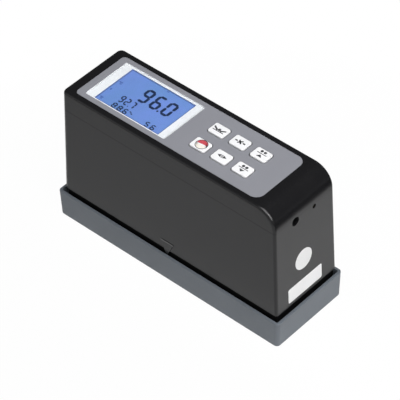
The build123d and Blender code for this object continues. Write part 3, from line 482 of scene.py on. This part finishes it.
# Middle, length, stroke and way of each bar, in millimetres
resting_bars = [
    (-50.2, 3.0, 2.4, 0.9, False), (-49.7, 1.9, 1.5, 0.9, False), (-50.7, -3.7, 1.7, 0.9, True),
    (-50.2, -10.7, 2.2, 0.8, False), (-49.9, -11.7, 1.4, 0.8, False),
    (-28.2, 12.4, 1.8, 0.7, False),
]
unit_bars = [(-32.1, -10.0, 1.3, 0.7, False), (-30.9, -10.8, 1.3, 0.7, False)]
small_bars = (
    ("figures_resting", resting_bars, resting),
    ("figures_unit", unit_bars, crystal),
)
for name, bars, material in small_bars:
    piece = start_mesh(name)
    for x, y, length, stroke, upright in bars:
        bar(x * MM, y * MM, length * MM, stroke * MM, upright)
    close_flat(piece, INK_RISE, material, "meter")

# Keys. Six rounded caps in white silicone, one moulding each, that press little switches on the
# board. Their marks are printed; the power key has a red and cream disc in a thin dark ring.
KEY_NAMES = ("read", "clear", "up", "power", "range", "down")
KEY_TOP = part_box("key_read")[1].z
KEY_PRINT = 0.02 * MM
DOT_RADIUS = 0.8
key_silicone = moulded(
    "key_white", tint(243, 243, 245), 0.5, grain=3000.0, relief=0.00001, contrast=0.015
)
for name in KEY_NAMES:
    finish_node(f"key_{name}", key_silicone)


def on_key(x, y):
    """Place on the keys' tops, from millimetres."""
    return (x * MM, y * MM, KEY_TOP)


def shape(points):
    """Flat outline through points in millimetres on the keys, added to the mesh being edited."""
    middle = [sum(point[i] for point in points) / len(points) for i in (0, 1)]
    radius = max(math.dist(point, middle) for point in points)
    bpy.ops.mesh.select_all(action="DESELECT")
    bpy.ops.mesh.primitive_circle_add(
        vertices=len(points), radius=radius * MM, fill_type="NGON", location=on_key(*middle)
    )
    bpy.ops.object.mode_set(mode="OBJECT")
    mesh = bpy.context.object.data
    corners = [vertex for vertex in mesh.vertices if vertex.select]
    for vertex, point in zip(corners, points):
        vertex.co = on_key(*point)
    bpy.ops.object.mode_set(mode="EDIT")


def stroke_of(start, end, width):
    """Four corners of a straight printed stroke."""
    dx, dy = end[0] - start[0], end[1] - start[1]
    length = math.hypot(dx, dy)
    px, py = -dy / length * width / 2, dx / length * width / 2
    return [
        (start[0] + px, start[1] + py), (start[0] - px, start[1] - py),
        (end[0] - px, end[1] - py), (end[0] + px, end[1] + py),
    ]


def arc_points(x, y, radius, start, end, count):
    """Points along an arc round a middle, between two angles in degrees."""
    turns = [math.radians(start + (end - start) * step / (count - 1)) for step in range(count)]
    return [(x + radius * math.cos(turn), y + radius * math.sin(turn)) for turn in turns]


def dot(x, y):
    """Twelve corners of a small printed dot."""
    return arc_points(x, y, DOT_RADIUS, 0, 330, 12)


key_ink = ink("key_ink_grey", tint(52, 52, 56), tint(64, 64, 68), 0.6)
marks = {
    "read": [
        stroke_of((6.2, 7.6), (8.9, 6.0), 0.85), stroke_of((10.5, 6.0), (13.2, 7.6), 0.85),
        stroke_of((6.5, 5.5), (12.9, 5.5), 0.5), dot(9.7, 6.7),
    ],
    "clear": [
        stroke_of((21.6, 7.7), (23.8, 5.5), 0.8), stroke_of((21.6, 5.5), (23.8, 7.7), 0.8),
        stroke_of((19.7, 6.6), (21.1, 6.6), 0.8), stroke_of((24.3, 6.6), (25.7, 6.6), 0.8),
    ],
    "up": [
        [(34.2, 4.5), (37.2, 4.5), (35.7, 6.1)], stroke_of((32.9, 6.9), (38.5, 6.9), 0.4),
        dot(34.7, 8.4), dot(36.7, 8.4),
    ],
    "range": [
        [(20.0, -6.4), (22.0, -5.4), (22.0, -7.4)], [(25.4, -6.4), (23.4, -7.4), (23.4, -5.4)],
        stroke_of((22.45, -5.4), (22.45, -7.4), 0.3),
        stroke_of((22.95, -5.4), (22.95, -7.4), 0.3),
    ],
    "down": [
        [(34.2, -7.1), (35.7, -8.7), (37.2, -7.1)], stroke_of((32.9, -6.2), (38.5, -6.2), 0.4),
        dot(34.7, -4.9), dot(36.7, -4.9),
    ],
}
for name, outlines in marks.items():
    piece = start_mesh(f"mark_{name}")
    for outline in outlines:
        shape(outline)
    close_flat(piece, KEY_PRINT, key_ink, f"{name}_key")

DISC_MIDDLE = (10.0, -6.4)
DISC_RADIUS = 2.85
RING_RADIUS = 2.88
RING_WIDENS = 1.13  # the ring's outer edge over its inner one
power_red = ink("power_red", tint(196, 70, 82), tint(208, 84, 94), 0.5)
power_cream = ink("power_cream", tint(243, 236, 224), tint(250, 244, 234), 0.5)
halves = (("disc_red", power_red, 0, 180), ("disc_cream", power_cream, 180, 360))
for name, material, start, end in halves:
    piece = start_mesh(name)
    shape(arc_points(*DISC_MIDDLE, DISC_RADIUS, start, end, 25))
    close_flat(piece, KEY_PRINT, material, "power_key")
piece = start_mesh("disc_ring")
bpy.ops.mesh.primitive_circle_add(
    vertices=48, radius=RING_RADIUS * MM, fill_type="NOTHING", location=on_key(*DISC_MIDDLE)
)
bpy.ops.mesh.extrude_region_move()
bpy.ops.transform.resize(
    value=(RING_WIDENS, RING_WIDENS, 1.0), center_override=on_key(*DISC_MIDDLE)
)
close_flat(piece, KEY_PRINT, key_ink, "power_key")

# Switches, boards and chip. Small black switches and a controller sit on a green fibreglass board
# with copper lines under the lacquer; the lamp and the photodiode have small boards of their own.
switch_plastic = moulded("switch_black", tint(26, 26, 27), 0.45, contrast=0.15)
for name in KEY_NAMES:
    finish_node(f"switch_{name}", switch_plastic)
COPPER_LANES = (420.0, 420.0, 420.0)
GLASS_WEAVE = (3000.0, 300.0, 300.0)
material, tree, shader = start_material("board_green")
place = object_place(tree)
lanes = tree.nodes.new("ShaderNodeTexBrick")
fill(tree, lanes, {"Vector": stretched(tree, place, COPPER_LANES)})
fill(tree, lanes, {"Mortar Size": 0.06, "Brick Width": 3.2, "Row Height": 0.55})
weave = noise(tree, stretched(tree, place, GLASS_WEAVE), 1.0, 1.0)
lacquer = between(tree, weave, tint(14, 84, 44), tint(20, 98, 54))
finish = {
    "Base Color": between(tree, lanes.outputs["Fac"], lacquer, tint(46, 128, 74)),
    "Normal": bumped(tree, lanes.outputs["Fac"], 0.00004),
    "Roughness": 0.28,
}
fill(tree, shader, finish)
for name in ("main_board", "lamp_board", "sensor_board"):
    finish_node(name, material)
chip = moulded("chip_epoxy", tint(30, 30, 32), 0.6, grain=3500.0, contrast=0.1)
finish_node("controller_chip", chip)

# Sockets. A plain black plug socket stands behind the larger hole, and a blue trimmer with a
# slotted brass rotor behind the small one. Both are soldered under the board's front edge.
socket = moulded("socket_black", tint(9, 9, 10), 0.6, grain=1500.0, contrast=0.1, shine=0.1)
finish_node("jack_socket", socket)
trimmer = moulded("trimmer_blue", tint(14, 22, 44), 0.5, grain=1500.0, contrast=0.06, shine=0.2)
finish_node("trimmer_body", trimmer)

# Turned lines: the fine lines along one axis that a tool or a die leaves in metal, and the uneven
# gloss that they give it
LINE_PULL = (300.0, 3000.0, 3000.0)
LINE_RELIEF = 0.000008
turned_lines, lines_in, lines_out = new_group(
    "turned_lines", {"Rough": 0.4}, ("Lines", "Roughness")
)
line_place = stretched(turned_lines, object_place(turned_lines), LINE_PULL)
fine = noise(turned_lines, line_place, 1.0, 3.0, 0.6)
smoothest = combine(turned_lines, "SUBTRACT", lines_in.outputs["Rough"], 0.06)
roughest = combine(turned_lines, "ADD", lines_in.outputs["Rough"], 0.08)
uneven = spread(turned_lines, fine, 0.3, 0.7, smoothest, roughest)
fill(turned_lines, lines_out, {"Lines": fine, "Roughness": uneven})


def turned_metal(name, first, second, rough):
    """Metal with fine lines along one axis, two near tones and an uneven gloss."""
    material, tree, shader = start_material(name)
    lines = use_group(tree, turned_lines, Rough=rough)
    finish = {
        "Base Color": between(tree, lines["Lines"], first, second),
        "Roughness": lines["Roughness"],
        "Normal": bumped(tree, lines["Lines"], LINE_RELIEF),
        "Metallic": 1.0,
    }
    fill(tree, shader, finish)
    return material


# Brass, painted very dark as shade for the small hole it sits behind
brass = turned_metal("rotor_painted_shade_brass", tint(46, 40, 28), tint(62, 54, 36), 0.5)
finish_node("trimmer_rotor", brass)

# Optics. An anodised aluminium block holds two tubes at the gloss angle. In them stand glass
# lenses, turned spacers, a slit, a stop, a domed lamp and a canned photodiode in black holders.
anodised = turned_metal("anodised_black", tint(40, 40, 43), tint(54, 54, 58), 0.42)
for name in ("optical_block", "source_spacer", "source_slit", "receiver_spacer", "receiver_stop"):
    finish_node(name, anodised)
holder_black = moulded("optic_holder_black", tint(24, 24, 25), 0.5)
finish_node("lamp_holder", holder_black)
finish_node("diode_holder", holder_black)
lens_glass = clear_sheet("lens_glass", (0.97, 0.99, 1.0, 1.0), 0.01, 1.52)
for name in ("source_lens", "condenser_lens", "receiver_lens"):
    finish_node(name, lens_glass)
finish_node("lamp", clear_sheet("lamp_clear", (1.0, 0.97, 0.9, 1.0), 0.03, 1.49))
diode_can = turned_metal("diode_can", tint(182, 180, 174), tint(206, 204, 198), 0.25)
finish_node("photodiode", diode_can)

# Batteries. Four small cells in plain printed sleeves stand in a black box behind the sliding
# door. Nickel-plated strips arched under each cell's end join them.
BAND_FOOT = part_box("cell_1")[1].z - 13.5 * MM  # a brass-coloured band runs from here to the top
BAND_FADE = 0.2 * MM
SLEEVE_SHEEN = (200.0, 200.0, 900.0)
material, tree, shader = start_material("cell_jacket")
place = object_place(tree)
high_end = spread(tree, split(tree, place)["Z"], BAND_FOOT, BAND_FOOT + BAND_FADE)
sheen = noise(tree, stretched(tree, place, SLEEVE_SHEEN), 1.0, 2.0)
sleeve = between(tree, sheen, tint(40, 44, 50), tint(50, 54, 60))
finish = {
    "Base Color": between(tree, high_end, sleeve, tint(172, 146, 96)),
    "Roughness": spread(tree, sheen, 0.3, 0.7, 0.26, 0.36),
    "Metallic": 0.4,
}
fill(tree, shader, finish)
for number in range(1, 5):
    finish_node(f"cell_{number}", material)
plating = turned_metal("contact_nickel", tint(188, 184, 172), tint(214, 210, 198), 0.22)
for name in ("top_near", "top_far", "bridge", "minus", "plus"):
    finish_node(f"contact_{name}", plating)
finish_node("battery_box", moulded("box_black", tint(26, 26, 27), 0.5, contrast=0.12))

# Screws. Small blackened steel self-tappers, with pan heads inside and countersunk heads under
# the base. Each group of screws is one node.
blackened = turned_metal("screw_blackened", tint(88, 88, 92), tint(118, 118, 122), 0.34)
for name in ("cover_screws", "base_screws", "optics_screws", "board_screws"):
    finish_node(name, blackened)

# Stickers on the nose end. Two bare white paper labels with a satin face, one round and one oblong
# with cut corners, pressed on to the leaning end wall of the housing.
WALL_FRONT = 70.0  # foot of the end wall from the middle, in millimetres
WALL_FOOT = 7.0  # its height above the ground
WALL_RISE = 75.0
WALL_LEANS = 2.8  # how far it leans in over its rise
LABEL_THICK = 0.09 * MM
LABEL_EASED = 0.35  # share of its thickness over which the edge is eased
LABEL_EDGE = 0.12 * MM
LABEL_CORNER = 0.9 * MM


def nose_face(z):
    """How far forward the housing's end wall stands at a height in millimetres, in metres."""
    return (WALL_FRONT - WALL_LEANS * (z - WALL_FOOT) / WALL_RISE) * MM


def label(name, y, z, high, wide, corners, material):
    """Paper label: a flat outline, thickened, its edge eased, and leaned on to the end wall."""
    oblong = corners == 4
    deselect()
    bpy.ops.mesh.primitive_circle_add(vertices=corners, radius=0.5 * math.sqrt(2 if oblong else 1))
    piece = bpy.context.object
    piece.name = name
    piece.data.name = name
    bpy.ops.object.mode_set(mode="EDIT")
    bpy.ops.mesh.select_all(action="SELECT")
    if oblong:
        bpy.ops.transform.rotate(value=math.pi / 4, orient_axis="Z", center_override=(0, 0, 0))
    bpy.ops.mesh.edge_face_add()
    bpy.ops.transform.resize(value=(high * MM, wide * MM, 1.0), center_override=(0, 0, 0))
    if oblong:
        bpy.ops.mesh.bevel(offset=LABEL_CORNER, segments=4, affect="VERTICES")
    bpy.ops.mesh.inset(thickness=LABEL_EDGE)
    bpy.ops.transform.translate(value=(0, 0, LABEL_EASED * LABEL_THICK))
    bpy.ops.mesh.select_all(action="SELECT")
    straight = (1 - LABEL_EASED) * LABEL_THICK
    bpy.ops.mesh.extrude_region_move(TRANSFORM_OT_translate={"value": (0, 0, straight)})
    bpy.ops.mesh.select_all(action="SELECT")
    bpy.ops.mesh.normals_make_consistent(inside=False)
    lean = math.atan(WALL_LEANS / WALL_RISE)
    bpy.ops.transform.rotate(
        value=lean - math.pi / 2, orient_axis="Y", center_override=(0, 0, 0)
    )
    bpy.ops.transform.translate(value=(nose_face(z), y * MM, z * MM))
    bpy.ops.object.mode_set(mode="OBJECT")
    piece.data.materials.append(material)
    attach(piece, "meter")


paper = moulded(
    "label_paper", tint(240, 240, 240), 0.5, grain=1500.0, relief=0.00002, contrast=0.02, dust=0.0
)
label("label_round", y=-1.6, z=41.5, high=11.9, wide=11.9, corners=64, material=paper)
label("label_oblong", y=-0.95, z=24.65, high=8.8, wide=24.4, corners=4, material=paper)

# Studio. A white sheet of paper under the object, which the camera sees washed out to white. Its
# colour is painted darker away from the object and on the near side, a painted pool of light that
# the object's sides show in reflection. A soft lamp hangs overhead, one stands off the nose end
# and a weak one off the near side, and the camera stands where the photograph was taken.
PAPER_LIGHT = (0.88, 0.88, 0.88, 1)
PAPER_DEEP = (0.86, 0.86, 0.86, 1)
PAPER_DARK = (0.05, 0.05, 0.05, 1)
SHEET_FADES = (0.14, 0.24)  # painted darker this far from the object's middle, in metres,
FAR_FADES = (-0.12, -0.04)  # but not on the near side of this
NEAR_FADES = (-0.045, -0.025)  # on the near side it is painted a little darker from here on
NEAR_DEPTH = 0.3
WASHED = 0.975  # how far the camera sees it washed out close to the object
deselect()
bpy.ops.mesh.primitive_grid_add(
    x_subdivisions=24, y_subdivisions=24, size=6.0, location=(0, 0, 0)
)
floor = bpy.context.object
floor.name = "paper_floor"
material, tree, shader = start_material("paper_white")
place = object_place(tree)
sheet = between(tree, noise(tree, place, 30.0, 3.0), PAPER_DEEP, PAPER_LIGHT)
from_object = tree.nodes.new("ShaderNodeVectorMath")
from_object.operation = "LENGTH"
fill(tree, from_object, {0: place})
beyond = spread(tree, from_object.outputs["Value"], *SHEET_FADES)
across = split(tree, place)["Y"]
# Painted falloff of light: the sheet goes dark beyond the object, except towards the near side
painted_falloff = combine(tree, "MULTIPLY", beyond, spread(tree, across, *FAR_FADES))
# Painted shade: the sheet is a little darker on the near side
near_painted_shade = spread(tree, across, *NEAR_FADES, NEAR_DEPTH, 0.0)
shaded = between(tree, near_painted_shade, sheet, PAPER_DARK)
fill(tree, shader, {"Base Color": between(tree, painted_falloff, shaded, PAPER_DARK)})
fill(tree, shader, {"Roughness": 0.9, "Specular IOR Level": 0.1})
plain = tree.nodes.new("ShaderNodeEmission")
fill(tree, plain, {"Strength": 1.0})
seen = tree.nodes.new("ShaderNodeLightPath").outputs["Is Camera Ray"]
wash = combine(tree, "MULTIPLY", seen, spread(tree, beyond, 0.0, 0.3, WASHED, 1.0))
washed = tree.nodes.new("ShaderNodeMixShader")
fill(tree, washed, {0: wash, 1: shader.outputs["BSDF"], 2: plain.outputs["Emission"]})
fill(tree, tree.nodes["Material Output"], {"Surface": washed.outputs["Shader"]})
floor.data.materials.append(material)

# The room's air: dim, a little lighter low down and on the near side, and white to the camera
AIR_LOW = 0.25
AIR_HIGH = 0.08
AIR_NEAR = 0.5
world = bpy.data.worlds.new("studio_air")
bpy.context.scene.world = world
world.use_nodes = True
tree = world.node_tree
facing = split(tree, tree.nodes.new("ShaderNodeTexCoord").outputs["Generated"])
room = spread(tree, facing["Z"], 0.0, 0.3, AIR_LOW, AIR_HIGH)
near_wall = spread(tree, facing["Y"], -0.3, -0.6)
near_wall = combine(tree, "MULTIPLY", near_wall, spread(tree, facing["Z"], 0.6, 0.4))
room = combine(tree, "MAXIMUM", room, combine(tree, "MULTIPLY", near_wall, AIR_NEAR))
seen = tree.nodes.new("ShaderNodeLightPath").outputs["Is Camera Ray"]
fill(tree, tree.nodes["Background"], {"Color": combine(tree, "MAXIMUM", room, seen)})


def soft_lamp(name, place, aim, size, power, opening):
    """Square soft lamp facing a point, with its light held to an opening in degrees."""
    data = bpy.data.lights.new(name, "AREA")
    data.shape = "SQUARE"
    data.size = size
    data.energy = power
    data.spread = math.radians(opening)
    lamp = bpy.data.objects.new(name, data)
    bpy.context.scene.collection.objects.link(lamp)
    lamp.location = place
    turn = [to - at for to, at in zip(aim, place)]
    lamp.rotation_euler = Vector(turn).to_track_quat("-Z", "Y").to_euler()


soft_lamp(
    "lamp_overhead", place=(0.22, -0.16, 0.85), aim=(0.02, 0.0, 0.05),
    size=0.75, power=2.4, opening=110,
)
soft_lamp(
    "lamp_nose", place=(0.75, -0.1, 0.72), aim=(0.05, 0.0, 0.04),
    size=0.6, power=2.15, opening=110,
)
soft_lamp(
    "lamp_side", place=(-0.55, -0.8, 0.55), aim=(-0.02, 0.0, 0.05),
    size=0.9, power=0.32, opening=150,
)

# The camera's place and lens were fitted to the object's edges
camera_data = bpy.data.cameras.new("camera")
camera_data.sensor_width = 36.0
camera_data.lens = 218.487
camera_data.clip_end = 20.0
camera = bpy.data.objects.new("camera", camera_data)
bpy.context.scene.collection.objects.link(camera)
camera.location = (0.577656, -0.623998, 0.849883)
camera.rotation_euler = [math.radians(angle) for angle in (46.2281, 1.1092, 41.6226)]
bpy.context.scene.camera = camera
bpy.context.scene.view_settings.view_transform = "Standard"
